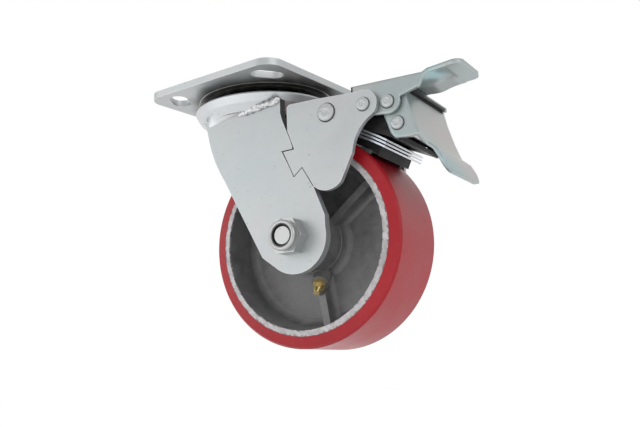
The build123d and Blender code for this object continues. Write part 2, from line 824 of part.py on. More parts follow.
# Wheel core with hub, web, ribs and rim
with BuildPart() as wheel_core:
    with BuildSketch(axle_plane):
        with BuildLine():
            Polyline(
                (hub_bore, hub_half),
                (hub_radius - hub_draft, hub_half),
                (hub_radius + hub_draft, web_half + 1),
                (hub_radius + hub_draft + 1, web_half),
                (rim_root_radius - 2, web_half),
                (rim_root_radius, web_half + 2),
                (rim_inner_radius, rim_half_width),
                (rim_outer_radius, tread_half_width),
                (rim_outer_radius, -tread_half_width),
                (rim_inner_radius, -rim_half_width),
                (rim_root_radius, -web_half - 2),
                (rim_root_radius - 2, -web_half),
                (hub_radius + hub_draft + 1, -web_half),
                (hub_radius + hub_draft, -web_half - 1),
                (hub_radius - hub_draft, -hub_half),
                (hub_bore, -hub_half),
                close=True,
            )
        make_face()
    revolve(axis=axle_axis)
    for rib in range(rib_count):
        rib_angle = rib_turn + rib * 360 / rib_count
        with BuildSketch(side_at(rib_depth)):
            with Locations(Location((axle_x, -axle_drop, 0), (0, 0, rib_angle))):
                with Locations(((hub_radius + rim_root_radius) / 2 + 0.5, 0)):
                    Rectangle(rim_root_radius - hub_radius + 1, rib_thickness)
        extrude(amount=2 * rib_depth)
    with BuildSketch(nipple_seat):
        Circle(nipple_boss_radius)
    extrude(amount=-nipple_boss_radius * 2)
    with BuildSketch(nipple_seat):
        Circle(nipple_boss_radius)
    extrude(amount=nipple_boss_radius * 2, mode=Mode.SUBTRACT)

# Tread bonded on the core
with BuildPart() as wheel_tread:
    with BuildSketch(axle_plane):
        with BuildLine():
            Polyline(
                (rim_outer_radius + running_gap, tread_half_width),
                (wheel_radius - tread_shoulder, tread_top_half_width + 0.3),
                (wheel_radius, tread_top_half_width - tread_shoulder),
                (wheel_radius, -tread_top_half_width + tread_shoulder),
                (wheel_radius - tread_shoulder, -tread_top_half_width - 0.3),
                (rim_outer_radius + running_gap, -tread_half_width),
                close=True,
            )
        make_face()
    revolve(axis=axle_axis)

# Grease nipple on its slanted seat
with BuildPart() as grease_nipple:
    with BuildSketch(nipple_seat):
        RegularPolygon(nipple_base_width / 2, 6, major_radius=False)
    extrude(amount=nipple_base_height)
    with BuildSketch(nipple_seat.offset(nipple_base_height)):
        Circle(nipple_neck_radius)
    extrude(amount=nipple_neck_height)
    with BuildSketch(nipple_seat.offset(nipple_base_height + nipple_neck_height)):
        Circle(nipple_head_radius)
    extrude(amount=nipple_head_height, taper=18)

# Names and export
pieces = {
    "top_plate": top_plate,
    "upper_race": upper_race,
    "upper_balls": upper_balls,
    "swivel_crown": swivel_crown,
    "lower_balls": lower_balls,
    "lower_race": lower_race,
    "kingpin": kingpin,
    "kingpin_nut": kingpin_nut,
    "near_leg": near_leg,
    "far_leg": far_leg,
    "near_weld": near_weld,
    "far_weld": far_weld,
    "near_bracket": near_bracket,
    "far_bracket": far_bracket,
    "arm_pin": arm_pin,
    "pedal_pin": pedal_pin,
    "link_pin": link_pin,
    "roller_pin": roller_pin,
    "pressure_roller": pressure_roller,
    "upper_pedal": upper_pedal,
    "lower_pedal": lower_pedal,
    "brake_lever": brake_lever,
    "upper_leaf": upper_leaf,
    "lower_leaf": lower_leaf,
    "brake_shoe": brake_shoe,
    "shoe_bolt": shoe_bolt,
    "shoe_nut": shoe_nut,
    "axle_bolt": axle_bolt,
    "axle_nut": axle_nut,
    "nut_insert": nut_insert,
    "axle_bushing": axle_bushing,
    "thrust_washers": thrust_washers,
    "bearing_rollers": bearing_rollers,
    "bearing_cage": bearing_cage,
    "wheel_core": wheel_core,
    "wheel_tread": wheel_tread,
    "grease_nipple": grease_nipple,
}
os.makedirs("parts", exist_ok=True)
for name, piece in pieces.items():
    piece.part.label = name
    export_step(piece.part, f"parts/{name}.step")
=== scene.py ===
import math

import bmesh
import bpy
from mathutils import Matrix, Vector, noise as mathutils_noise


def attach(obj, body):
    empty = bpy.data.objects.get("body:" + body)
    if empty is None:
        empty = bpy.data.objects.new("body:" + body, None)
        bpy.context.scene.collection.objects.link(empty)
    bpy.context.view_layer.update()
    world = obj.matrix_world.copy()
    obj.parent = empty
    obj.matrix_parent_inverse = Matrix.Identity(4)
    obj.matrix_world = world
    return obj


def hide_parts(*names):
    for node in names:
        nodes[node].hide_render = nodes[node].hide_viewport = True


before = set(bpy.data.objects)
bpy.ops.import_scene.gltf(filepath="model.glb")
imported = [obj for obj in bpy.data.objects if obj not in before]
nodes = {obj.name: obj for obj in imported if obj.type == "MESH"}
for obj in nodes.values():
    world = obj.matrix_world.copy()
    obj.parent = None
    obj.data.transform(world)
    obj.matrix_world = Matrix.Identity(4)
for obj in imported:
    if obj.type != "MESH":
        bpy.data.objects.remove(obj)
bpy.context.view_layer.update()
scene = bpy.context.scene
scene.view_settings.view_transform = "Standard"

# Fork frame: the fork is turned about Z against the plate
FORK_TURN = math.radians(5.4)
FORK = Matrix.Rotation(FORK_TURN, 4, "Z")


def fork_point(x, y, z):
    """A point of the fork's own frame in millimetres, as a row-frame vector in metres."""
    return FORK @ Vector((x / 1000, y / 1000, z / 1000))


# Camera at the photograph's viewing angle
right = FORK.to_3x3() @ Vector((0.8585, 0.5112, -0.0401))
back = FORK.to_3x3() @ Vector((0.4952, -0.8468, -0.1939))
right.normalize()
back = (back - back.dot(right) * right).normalized()
up = back.cross(right)
camera_data = bpy.data.cameras.new("camera")
camera_data.sensor_width = 36
camera_data.sensor_fit = "HORIZONTAL"
camera_data.lens = 47.1
camera_data.clip_start = 0.01
camera = bpy.data.objects.new("camera", camera_data)
scene.collection.objects.link(camera)
place = Matrix((right, up, back)).transposed().to_4x4()
place.translation = fork_point(289.5, -431.6, -179.9)
camera.matrix_world = place
scene.camera = camera


# Sizes that the finish and the small pieces share, in millimetres in the fork's frame
AXLE = (38.9, -100.5)
RIM_INNER = 52.0
RIM_OUTER = 55.4
RIM_FACE = 24.4
LEG_OUTER = 35.0
CROWN_BOTTOM = -19.8


# Material helpers
def principled(tree):
    """The main shader of a material."""
    return next(n for n in tree.nodes if n.type == "BSDF_PRINCIPLED")


def new_material(name):
    material = bpy.data.materials.new(name)
    material.use_nodes = True
    tree = material.node_tree
    return material, tree, principled(tree)


def own_place(tree):
    """A place on a piece in the piece's own coordinates, in metres."""
    return tree.nodes.new("ShaderNodeTexCoord").outputs["Object"]


def noise(tree, scale, detail=4.0, roughness=0.5, distortion=0.0):
    """A noise texture in the piece's own coordinates."""
    node = tree.nodes.new("ShaderNodeTexNoise")
    node.inputs["Scale"].default_value = scale
    node.inputs["Detail"].default_value = detail
    node.inputs["Roughness"].default_value = roughness
    node.inputs["Distortion"].default_value = distortion
    tree.links.new(own_place(tree), node.inputs["Vector"])
    return node.outputs["Fac"]


def ramp(tree, value, stops):
    """A colour ramp over stops of (position, colour)."""
    node = tree.nodes.new("ShaderNodeValToRGB")
    elements = node.color_ramp.elements
    while len(elements) < len(stops):
        elements.new(0.5)
    for element, (position, colour) in zip(elements, stops):
        element.position = position
        element.color = (*colour, 1)
    tree.links.new(value, node.inputs["Fac"])
    return node.outputs["Color"]


def spread(tree, value, low, high, start=0.3, end=0.7):
    """A number that goes from low to high as value goes from start to end."""
    node = tree.nodes.new("ShaderNodeMapRange")
    node.inputs["From Min"].default_value = start
    node.inputs["From Max"].default_value = end
    node.inputs["To Min"].default_value = low
    node.inputs["To Max"].default_value = high
    tree.links.new(value, node.inputs["Value"])
    return node.outputs["Result"]


def feed(tree, value, target):
    """Gives a shader input a socket, a colour or a number."""
    if isinstance(value, bpy.types.NodeSocket):
        tree.links.new(value, target)
    elif isinstance(value, tuple):
        target.default_value = (*value, 1)
    else:
        target.default_value = value


def mix(tree, factor, first, second, kind="MIX"):
    """A colour mixed from two sockets or colours."""
    node = tree.nodes.new("ShaderNodeMix")
    node.data_type = "RGBA"
    node.blend_type = kind
    feed(tree, factor, node.inputs[0])
    feed(tree, first, node.inputs[6])
    feed(tree, second, node.inputs[7])
    return node.outputs[2]


def combine(tree, operation, first, second):
    """A sum, product or comparison of two numbers."""
    node = tree.nodes.new("ShaderNodeMath")
    node.operation = operation
    feed(tree, first, node.inputs[0])
    feed(tree, second, node.inputs[1])
    return node.outputs["Value"]


def pair(tree, x, y):
    """A flat vector from two numbers."""
    node = tree.nodes.new("ShaderNodeCombineXYZ")
    tree.links.new(x, node.inputs["X"])
    tree.links.new(y, node.inputs["Y"])
    return node.outputs["Vector"]


def distance(tree, vector, spot):
    """The distance of a vector from a fixed spot."""
    node = tree.nodes.new("ShaderNodeVectorMath")
    node.operation = "DISTANCE"
    node.inputs[1].default_value = spot
    tree.links.new(vector, node.inputs[0])
    return node.outputs["Value"]


def bump(tree, shader, height, strength, reach, bend=0.0):
    """Relief from a height, over normals rounded by a bend in metres where one is given."""
    node = tree.nodes.new("ShaderNodeBump")
    if bend:
        rounded = tree.nodes.new("ShaderNodeBevel")
        rounded.samples = 12
        rounded.inputs["Radius"].default_value = bend
        tree.links.new(rounded.outputs["Normal"], node.inputs["Normal"])
    node.inputs["Strength"].default_value = strength
    node.inputs["Distance"].default_value = reach
    tree.links.new(height, node.inputs["Height"])
    tree.links.new(node.outputs["Normal"], shader.inputs["Normal"])


def edge_wear(tree, reach=0.0007):
    """1 along the sharp edges of a piece and 0 on its faces, for rubbed edges."""
    rounded = tree.nodes.new("ShaderNodeBevel")
    rounded.samples = 4
    rounded.inputs["Radius"].default_value = reach
    geometry = tree.nodes.new("ShaderNodeNewGeometry")
    dot = tree.nodes.new("ShaderNodeVectorMath")
    dot.operation = "DOT_PRODUCT"
    tree.links.new(rounded.outputs["Normal"], dot.inputs[0])
    tree.links.new(geometry.outputs["Normal"], dot.inputs[1])
    return spread(tree, dot.outputs["Value"], 1.0, 0.0, 0.86, 0.985)


def plated_steel(name, base, tint_a, tint_b, rough=(0.36, 0.5), metallic=0.6, bend=0.0):
    """Zinc plating: a cool grey with faint clouds of passivation colour and a fine grain."""
    material, tree, shader = new_material(name)
    clouds = noise(tree, 28.0, 5.0, 0.55, 0.6)
    tints = ramp(tree, noise(tree, 17.0, 3.0, 0.5), [(0.32, tint_a), (0.5, base), (0.68, tint_b)])
    shade = ramp(tree, clouds, [(0.25, (0.82, 0.83, 0.84)), (0.75, (1.0, 1.0, 1.0))])
    colour = mix(tree, 1.0, tints, shade, "MULTIPLY")
    rubbed = tuple(min(1.0, channel * 1.35) for channel in base)
    worn = mix(tree, edge_wear(tree), colour, rubbed)
    pits = spread(tree, noise(tree, 480.0, 2.0, 0.5), 0.0, 0.75, 0.70, 0.76)
    worn = mix(tree, pits, worn, tuple(0.4 * channel for channel in base))
    tree.links.new(worn, shader.inputs["Base Color"])
    shader.inputs["Metallic"].default_value = metallic
    tree.links.new(spread(tree, clouds, rough[0], rough[1]), shader.inputs["Roughness"])
    grain = noise(tree, 900.0, 2.0, 0.6)
    bump(tree, shader, grain, 0.12, 0.0002, bend)
    return material


def painted_plate_shade(material):
    """Painted shade: a dark ring round the swivel head, on the underside of the plate."""
    tree = material.node_tree
    shader = principled(tree)
    plain = shader.inputs["Base Color"].links[0].from_socket
    split = tree.nodes.new("ShaderNodeSeparateXYZ")
    tree.links.new(own_place(tree), split.inputs["Vector"])
    reach = distance(tree, pair(tree, split.outputs["X"], split.outputs["Y"]), (0.004, 0.0, 0))
    blotch = combine(tree, "ADD", reach, spread(tree, noise(tree, 60.0), -0.003, 0.003))
    halo = spread(tree, blotch, 0.88, 0.0, 0.0415, 0.0535)
    below = spread(tree, split.outputs["Z"], 1.0, 0.0, -0.0041, -0.0036)
    painted_shade = combine(tree, "MULTIPLY", halo, below)
    colour = mix(tree, painted_shade, plain, (0.035, 0.037, 0.032))
    tree.links.new(colour, shader.inputs["Base Color"])
    return material


def tinted_root(material, spot, inner, outer, tint):
    """A stronger passivation colour round one spot of a piece."""
    tree = material.node_tree
    shader = principled(tree)
    plain = shader.inputs["Base Color"].links[0].from_socket
    reach = distance(tree, own_place(tree), fork_point(*spot))
    blotch = combine(tree, "ADD", reach, spread(tree, noise(tree, 90.0), -0.002, 0.002))
    near = spread(tree, blotch, 0.85, 0.0, inner / 1000, outer / 1000)
    tree.links.new(mix(tree, near, plain, tint), shader.inputs["Base Color"])
    return material


def weld_material():
    material, tree, shader = new_material("weld_metal")
    ripples = noise(tree, 420.0, 3.0, 0.6)
    shades = [(0.3, (0.22, 0.22, 0.22)), (0.55, (0.55, 0.56, 0.56)), (0.75, (0.80, 0.80, 0.80))]
    tree.links.new(ramp(tree, ripples, shades), shader.inputs["Base Color"])
    shader.inputs["Metallic"].default_value = 0.9
    tree.links.new(spread(tree, ripples, 0.25, 0.5), shader.inputs["Roughness"])
    bump(tree, shader, ripples, 0.7, 0.0008)
    return material


def wheel_place(tree):
    """Distance from the wheel's axle and from its middle plane, in millimetres."""
    turned = tree.nodes.new("ShaderNodeMapping")
    turned.vector_type = "TEXTURE"
    turned.inputs["Rotation"].default_value = (0, 0, FORK_TURN)
    turned.inputs["Scale"].default_value = (0.001, 0.001, 0.001)
    tree.links.new(own_place(tree), turned.inputs["Vector"])
    split = tree.nodes.new("ShaderNodeSeparateXYZ")
    tree.links.new(turned.outputs["Vector"], split.inputs["Vector"])
    reach = distance(tree, pair(tree, split.outputs["X"], split.outputs["Z"]), (*AXLE, 0))
    width = tree.nodes.new("ShaderNodeMath")
    width.operation = "ABSOLUTE"
    tree.links.new(split.outputs["Y"], width.inputs[0])
    return reach, width.outputs["Value"]


def iron_material():
    """Grey cast iron with a ragged bare ring on the rim's face."""
    material, tree, shader = new_material("painted_iron")
    speckle = noise(tree, 140.0, 6.0, 0.7)
    broad = noise(tree, 35.0, 3.0, 0.5)
    greys = [(0.3, (0.125, 0.125, 0.13)), (0.6, (0.215, 0.215, 0.218)), (0.8, (0.33, 0.33, 0.33))]
    colour = ramp(tree, speckle, greys)
    colour = mix(tree, spread(tree, broad, 0.0, 0.35), colour, (0.22, 0.215, 0.215))
    reach, width = wheel_place(tree)
    chips = noise(tree, 520.0, 5.0, 0.65)
    ragged = combine(tree, "ADD", reach, spread(tree, chips, -0.8, 1.0, 0.35, 0.65))
    inner = spread(tree, ragged, 0.0, 1.0, RIM_INNER - 0.1, RIM_INNER + 0.15)
    outer = spread(tree, ragged, 1.0, 0.0, RIM_OUTER - 0.3, RIM_OUTER)
    face = spread(tree, width, 0.0, 1.0, RIM_FACE - 0.4, RIM_FACE)
    ring = combine(tree, "MULTIPLY", combine(tree, "MULTIPLY", inner, outer), face)
    bare_shades = [(0.35, (0.42, 0.40, 0.41)), (0.65, (0.60, 0.58, 0.59))]
    bare = ramp(tree, noise(tree, 210.0, 4.0, 0.6), bare_shades)
    colour = mix(tree, ring, colour, bare)
    tree.links.new(colour, shader.inputs["Base Color"])
    shader.inputs["Metallic"].default_value = 0.25
    tree.links.new(spread(tree, speckle, 0.42, 0.68), shader.inputs["Roughness"])
    bump(tree, shader, speckle, 0.5, 0.0006)
    return material


def tread_material():
    material, tree, shader = new_material("red_tread")
    broad = noise(tree, 24.0, 4.0, 0.5)
    fine = noise(tree, 260.0, 5.0, 0.6)
    colour = ramp(tree, broad, [(0.3, (0.37, 0.006, 0.013)), (0.7, (0.43, 0.011, 0.021))])
    dusty = mix(tree, spread(tree, fine, 0.0, 0.12, 0.5, 0.8), colour, (0.48, 0.13, 0.15))
    tree.links.new(dusty, shader.inputs["Base Color"])
    tree.links.new(spread(tree, broad, 0.34, 0.5), shader.inputs["Roughness"])
    shader.inputs["Coat Weight"].default_value = 0.15
    shader.inputs["Coat Roughness"].default_value = 0.35
    bump(tree, shader, fine, 0.15, 0.0003)
    return material


def plain_material(name, dark, light, metallic, rough, scale=120.0, lift=0.3):
    """Two close shades with a matching roughness and bump."""
    material, tree, shader = new_material(name)
    grain = noise(tree, scale, 5.0, 0.6)
    colour = ramp(tree, grain, [(0.3, dark), (0.7, light)])
    rubbed = tuple(min(1.0, channel * 1.6 + 0.02) for channel in light)
    worn = mix(tree, edge_wear(tree, 0.0004), colour, rubbed)
    tree.links.new(worn, shader.inputs["Base Color"])
    shader.inputs["Metallic"].default_value = metallic
    tree.links.new(spread(tree, grain, rough[0], rough[1]), shader.inputs["Roughness"])
    bump(tree, shader, grain, lift, 0.0003)
    return material


def dulled(material, level):
    """The same material with a lower specular level."""
    principled(material.node_tree).inputs["Specular IOR Level"].default_value = level
    return material


def race_material():
    """The race painted dark as shade between the plate and the crown, with rubbed edges."""
    material, tree, shader = new_material("race_painted_shade")
    grain = noise(tree, 160.0, 4.0, 0.6)
    dark = ramp(tree, grain, [(0.3, (0.020, 0.020, 0.017)), (0.7, (0.05, 0.05, 0.043))])
    colour = mix(tree, edge_wear(tree, 0.0006), dark, (0.60, 0.60, 0.56))
    tree.links.new(colour, shader.inputs["Base Color"])
    shader.inputs["Metallic"].default_value = 0.5
    tree.links.new(spread(tree, grain, 0.3, 0.45), shader.inputs["Roughness"])
    bump(tree, shader, grain, 0.2, 0.0002)
    return material


def nylon_material():
    """The nut's insert, dark round the bolt and grey further out."""
    material, tree, shader = new_material("insert_nylon")
    reach, _ = wheel_place(tree)
    grain = noise(tree, 300.0, 3.0, 0.5)
    ragged = combine(tree, "ADD", reach, spread(tree, grain, -0.08, 0.08))
    joint = spread(tree, ragged, 1.0, 0.0, 6.45, 6.65)
    grey = ramp(tree, grain, [(0.3, (0.44, 0.44, 0.42)), (0.7, (0.52, 0.52, 0.50))])
    colour = mix(tree, joint, grey, (0.03, 0.03, 0.03))
    tree.links.new(colour, shader.inputs["Base Color"])
    tree.links.new(spread(tree, grain, 0.4, 0.5), shader.inputs["Roughness"])
    bump(tree, shader, grain, 0.1, 0.0002)
    return material


# Materials
PEDAL_BASE = (0.41, 0.44, 0.43)
PEDAL_ROUGH = (0.30, 0.42)
PEDAL_METAL = 0.65
PEDAL_BEND = 0.0022

ZINC = plated_steel("zinc_plate", (0.49, 0.51, 0.515), (0.47, 0.505, 0.51), (0.51, 0.50, 0.51))
ZINC_TINTED = plated_steel(
    "zinc_tinted", PEDAL_BASE, (0.33, 0.44, 0.46), (0.46, 0.435, 0.42),
    PEDAL_ROUGH, PEDAL_METAL, PEDAL_BEND,
)
ZINC_ROOT = tinted_root(
    plated_steel(
        "zinc_root", PEDAL_BASE, (0.36, 0.44, 0.455), (0.46, 0.435, 0.43),
        PEDAL_ROUGH, PEDAL_METAL, PEDAL_BEND,
    ),
    (128.5, -27.0, -20.5), 2.0, 10.0, (0.32, 0.47, 0.49),
)
ZINC_BRIGHT = plated_steel(
    "zinc_bright", (0.45, 0.46, 0.45), (0.43, 0.45, 0.44), (0.46, 0.45, 0.445), (0.26, 0.38), 0.8,
)
# The mounting plate carries painted shade round the swivel head on its underside.
PLATE = painted_plate_shade(plated_steel(
    "zinc_mounting", (0.53, 0.55, 0.55), (0.51, 0.545, 0.545), (0.55, 0.54, 0.55),
))
# The upper race carries painted shade.
SHADED_RACE = race_material()
# A lighter copy of the zinc for the crown and the weld metal beside it: painted light on the crown band.
LIT_CROWN = plated_steel("zinc_crown_painted_light", (0.68, 0.70, 0.71), (0.65, 0.69, 0.70), (0.70, 0.69, 0.70))
WELD = weld_material()
IRON = iron_material()
TREAD = dulled(tread_material(), 0.3)
# Black paint of the brake lever; the same material also makes the black strips of painted shade on the
# pins, pedals and legs.
BLACK = dulled(plain_material(
    "black_steel", (0.010, 0.010, 0.011), (0.016, 0.016, 0.018), 0.0, (0.36, 0.5),
), 0.3)
SHOE = dulled(plain_material(
    "shoe_rubber", (0.008, 0.008, 0.008), (0.015, 0.015, 0.016), 0.0, (0.5, 0.65),
), 0.25)
BRASS = plain_material(
    "nipple_brass", (0.50, 0.38, 0.16), (0.66, 0.53, 0.26), 0.7, (0.22, 0.36), 300.0, 0.1,
)
BALLS = plain_material(
    "ball_steel", (0.45, 0.45, 0.46), (0.62, 0.62, 0.64), 1.0, (0.12, 0.2), 200.0, 0.05,
)
GROUND = plain_material(
    "ground_steel", (0.42, 0.42, 0.43), (0.56, 0.56, 0.57), 1.0, (0.28, 0.4), 260.0, 0.1,
)
CAGE = plain_material("cage_plastic", (0.42, 0.39, 0.30), (0.52, 0.49, 0.40), 0.0, (0.45, 0.55))
NYLON = nylon_material()
STEEL_GREY = plain_material(
    "grey_steel", (0.085, 0.088, 0.088), (0.13, 0.135, 0.135), 0.2, (0.4, 0.55),
)
LEAF = plated_steel(
    "leaf_steel", (0.66, 0.68, 0.72), (0.60, 0.66, 0.74), (0.68, 0.67, 0.68), (0.24, 0.36), 0.8,
)

FINISH = {
    "top_plate": PLATE, "upper_race": SHADED_RACE, "kingpin": ZINC, "kingpin_nut": ZINC,
    "lower_race": ZINC, "upper_balls": BALLS, "lower_balls": BALLS, "swivel_crown": LIT_CROWN,
    "near_leg": ZINC, "far_leg": ZINC, "near_weld": WELD, "far_weld": WELD,
    "near_bracket": ZINC, "far_bracket": ZINC,
    "arm_pin": ZINC, "pedal_pin": ZINC, "link_pin": ZINC, "roller_pin": ZINC,
    "axle_bolt": ZINC_BRIGHT, "axle_nut": ZINC_BRIGHT, "nut_insert": NYLON, "axle_bushing": GROUND,
    "thrust_washers": ZINC, "bearing_rollers": BALLS, "bearing_cage": CAGE, "wheel_core": IRON,
    "wheel_tread": TREAD, "grease_nipple": BRASS, "upper_pedal": ZINC_ROOT,
    "lower_pedal": ZINC_TINTED, "pressure_roller": GROUND, "brake_lever": BLACK,
    "upper_leaf": ZINC_BRIGHT, "lower_leaf": ZINC_BRIGHT,
    "brake_shoe": SHOE, "shoe_bolt": ZINC, "shoe_nut": ZINC,
}
for name, material in FINISH.items():
    mesh = nodes[name].data
    mesh.materials.clear()
    mesh.materials.append(material)


# Worn edges: a small real bevel
def round_edges(piece, width, over):
    """A bevel of a width in millimetres on the edges that are sharper than an angle."""
    bevel = piece.modifiers.new("edge", "BEVEL")
    bevel.width = width / 1000
    bevel.segments = 3
    bevel.limit_method = "ANGLE"
    bevel.angle_limit = math.radians(over)
    bevel.harden_normals = True


EDGE = {
    "top_plate": 0.5, "near_leg": 0.45, "far_leg": 0.45, "near_bracket": 0.4, "far_bracket": 0.4,
    "upper_pedal": 0.9, "lower_pedal": 0.9, "wheel_core": 0.6, "brake_lever": 0.3,
    "brake_shoe": 0.6, "axle_nut": 0.3, "axle_bolt": 0.3, "shoe_nut": 0.2,
}
for name, width in EDGE.items():
    round_edges(nodes[name], width, 40)


# Small pieces built on the frame
def add_piece(name, form, materials, body, bevel=None, smooth=True):
    """A mesh from fork millimetres that rides on a body."""
    for vertex in form.verts:
        vertex.co = fork_point(*vertex.co)
    bmesh.ops.recalc_face_normals(form, faces=form.faces)
    mesh = bpy.data.meshes.new(name)
    form.to_mesh(mesh)
    form.free()
    for material in materials:
        mesh.materials.append(material)
    if smooth:
        mesh.shade_smooth()
    piece = bpy.data.objects.new(name, mesh)
    scene.collection.objects.link(piece)
    if bevel:
        round_edges(piece, bevel, 35)
    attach(piece, body)
    return piece


def wall(form, first, second, material_index=0):
    """Quads between two rings of the same number of points."""
    for index in range(len(first)):
        following = (index + 1) % len(first)
        quad = form.faces.new((first[index], second[index], second[following], first[following]))
        quad.material_index = material_index


def fan(form, first, second):
    """Triangles between a ring and a single point, in either order."""
    steps = max(len(first), len(second))
    for step in range(steps):
        following = (step + 1) % steps
        if len(first) == 1:
            form.faces.new((first[0], second[step], second[following]))
        else:
            form.faces.new((first[step], second[0], first[following]))


def revolved(profile, spot, steps, wobble=0.0, closed=False):
    """A form turned about the fork's Y through spot, from points of (radius, y)."""
    form = bmesh.new()
    rings = []
    for radius, across in profile:
        ring = []
        for step in range(steps):
            angle = math.tau * step / steps
            lift = 0.0
            if wobble and radius > 0:
                seed = Vector((radius * 1.3, angle * 3.1, across + spot[0]))
                lift = wobble * mathutils_noise.noise(seed)
            x = spot[0] + radius * math.cos(angle)
            z = spot[1] + radius * math.sin(angle)
            ring.append(form.verts.new((x, across + lift, z)))
            if radius == 0:
                break
        rings.append(ring)
    pairs = list(zip(rings, rings[1:]))
    if closed:
        pairs.append((rings[-1], rings[0]))
    for first, second in pairs:
        if len(first) == 1 or len(second) == 1:
            fan(form, first, second)
        else:
            wall(form, first, second)
    return form


def prism(outline, near, far):
    """A plate between two widths, from side-view points of (x, z)."""
    form = bmesh.new()
    front = [form.verts.new((x, near, z)) for x, z in outline]
    back = [form.verts.new((x, far, z)) for x, z in outline]
    form.faces.new(front)
    form.faces.new(list(reversed(back)))
    wall(form, front, back)
    return form


def take_in(form, part):
    """Moves all the faces of one form into another."""
    passing = bpy.data.meshes.new("passing")
    part.to_mesh(passing)
    part.free()
    form.from_mesh(passing)
    bpy.data.meshes.remove(passing)


def below_crown(points):
    """Side-view points with heights from the crown's underside."""
    return [(x, CROWN_BOTTOM + z) for x, z in points]


# Hammered heads of the cross pins
HEAD_DOME = [
    (1.02, -0.05), (1.02, 0.9), (0.97, 1.45), (0.86, 1.75), (0.72, 1.72),
    (0.60, 1.95), (0.46, 2.0), (0.34, 1.75), (0.18, 1.68), (0, 1.72),
]
# Profile of the black ring at a head's foot: painted shade.
HEAD_SHADE_RING = [(1.13, 0.0), (1.11, 0.10), (0.9, 0.10), (0.9, 0.0)]
HEAD_STEPS = 48
HEAD_WOBBLE = 0.34


def pin_heads(name, spot, radius, face, body):
    """A domed, hammered head on each end of a cross pin, and a thin black ring at its foot.

    The ring is painted shade: it stands for the dark line of shade round the head.
    """
    for side, label in ((-1, "near"), (1, "far")):
        profile = [(part * radius, side * (face + height)) for part, height in HEAD_DOME]
        form = revolved(profile, spot, HEAD_STEPS, HEAD_WOBBLE)
        add_piece(f"{name}_{label}", form, [ZINC], body)
        ring = [(part * radius, side * (face + height)) for part, height in HEAD_SHADE_RING]
        form = revolved(ring, spot, HEAD_STEPS, 0.0, True)
        add_piece(f"{name}_shade_ring_{label}", form, [BLACK], body, smooth=False)


ARM_PIVOT = (64.4, CROWN_BOTTOM - 11.6)
PEDAL_PIVOT = (88.0, CROWN_BOTTOM - 11.5)
LINK_PIVOT = (101.4, CROWN_BOTTOM - 11.7)
ROLLER_PIVOT = (105.3, CROWN_BOTTOM - 24.0)
pin_heads("arm_pin_head", ARM_PIVOT, 5.1, 35.0, "fork")
pin_heads("pedal_pin_head", PEDAL_PIVOT, 3.7, 35.0, "fork")
pin_heads("link_pin_head", LINK_PIVOT, 3.7, 31.5, "upper_pedal_link")
pin_heads("roller_pin_head", ROLLER_PIVOT, 3.7, 28.5, "lower_pedal_link")


# Brake arm: plates on the shoe, ears and lugs on the lever and the stack of thin leaves
ARM_SLOPE = math.radians(-25.1)
LEVER_OUTER = 24.9
LEVER_INNER = 22.6
SHOE_PLATE_OUTER = 20.25
SHOE_PLATE_INNER = 19.0


def arm_point(along, above):
    """A side-view point at a distance along the brake arm and a height over its pivot line."""
    return (
        ARM_PIVOT[0] + along * math.cos(ARM_SLOPE) - above * math.sin(ARM_SLOPE),
        ARM_PIVOT[1] + along * math.sin(ARM_SLOPE) + above * math.cos(ARM_SLOPE),
    )


# The second point is inside the tread: this corner of each shoe plate cuts into it
SHOE_PLATE = [(20.5, -11.6), (20.5, -14.1), (27.8, -14.1), (27.8, -11.6)]
LEVER_EAR = [(79.6, -40.6), (81.9, -34.8), (84.5, -34.6), (94.6, -37.0), (95.9, -38.2), (98.6, -46.4)]
LEVER_LUG = [(31, 0.3), (33.5, 3.3), (35.8, 3.3), (38.0, 1.4), (45, 1.2), (45, 0.3)]
for side, label in ((-1, "near"), (1, "far")):
    outer, inner = side * SHOE_PLATE_OUTER, side * SHOE_PLATE_INNER
    form = prism([arm_point(*point) for point in SHOE_PLATE], outer, inner)
    add_piece(f"shoe_plate_{label}", form, [STEEL_GREY], "brake_arm", 0.3)
    outer, inner = side * LEVER_OUTER, side * LEVER_INNER
    form = prism(LEVER_EAR, outer, inner)
    add_piece(f"lever_ear_{label}", form, [BLACK], "brake_arm", 0.4)
    form = prism([arm_point(*point) for point in LEVER_LUG], outer, inner)
    add_piece(f"lever_lug_{label}", form, [BLACK], "brake_arm", 0.4)

LEAF_START = 7
LEAF_LENGTH = 30.4
LEAF_THICKNESS = 1.15
LEAF_HALF_WIDTH = 25
LEAF_BOW = 1.7
LEAF_STEPS = 12


def leaf_stack(name, tops, replaced):
    """Thin spring leaves, one under the other, that curve down towards their free end."""
    form = bmesh.new()
    for top in tops:
        points = []
        for step in range(LEAF_STEPS + 1):
            share = step / LEAF_STEPS
            bow = LEAF_BOW * share ** 2.6
            points.append((LEAF_START + LEAF_LENGTH * share, top - bow))
        outline = [arm_point(along, above) for along, above in points]
        outline += [arm_point(along, above - LEAF_THICKNESS) for along, above in reversed(points)]
        take_in(form, prism(outline, -LEAF_HALF_WIDTH, LEAF_HALF_WIDTH))
    piece = add_piece(name, form, [LEAF], "brake_arm", 0.15, smooth=False)
    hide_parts(replaced)


leaf_stack("upper_leaves", (-2.1, -3.95), "upper_leaf")
leaf_stack("lower_leaves", (-5.85,), "lower_leaf")

# Rolled lip of the lock nut, over its insert
LIP = [
    (6.55, -46.0), (6.6, -47.0), (7.0, -47.45), (7.7, -47.5), (8.3, -47.2),
    (8.75, -46.6), (8.8, -45.8), (8.75, -45.2), (8.2, -45.0), (6.55, -45.4),
]
add_piece("nut_lip", revolved(LIP, AXLE, 64, 0.0, True), [ZINC_BRIGHT], "fork")

# Bend under the upper pedal's tongue
ROOT = [
    (112, -1.95), (115, -2.25), (118, -2.5), (120.5, -2.55), (122.5, -2.4), (124.5, -1.95),
    (126.5, -1.35), (128.5, -0.9), (131, -0.45), (134, -0.12), (137, 0.06), (137, 0.3), (112, -1.0),
]
